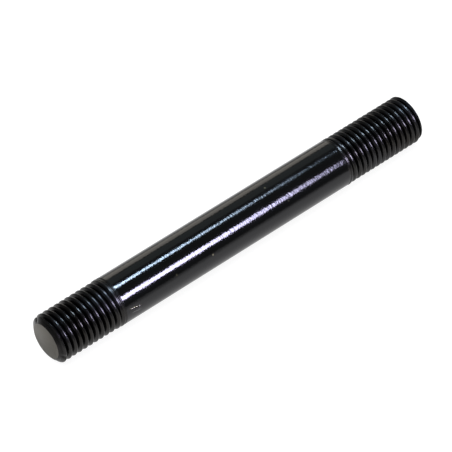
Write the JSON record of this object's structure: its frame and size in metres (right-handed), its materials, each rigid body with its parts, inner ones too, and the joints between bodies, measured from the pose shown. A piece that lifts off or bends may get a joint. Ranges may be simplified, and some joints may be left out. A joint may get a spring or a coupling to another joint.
{
  "type": "double ended stud",
  "caption": "Double ended stud: a plain round shank with a right-hand thread on each end, one longer than the other, and chamfered flat ends. Joins two parts through a hole or casing.",
  "frame": {"origin": "centre of the end face of the long thread, on which the stud stands", "axes": "+Z along the stud's axis, from the long thread to the short one"},
  "size_m": [0.012, 0.012, 0.108],
  "materials": {
    "black_steel": "black oxide, oiled, semi gloss, with fine turning marks"
  },
  "bodies": {
    "root": {"stud": "black_steel"}
  },
  "joints": []
}
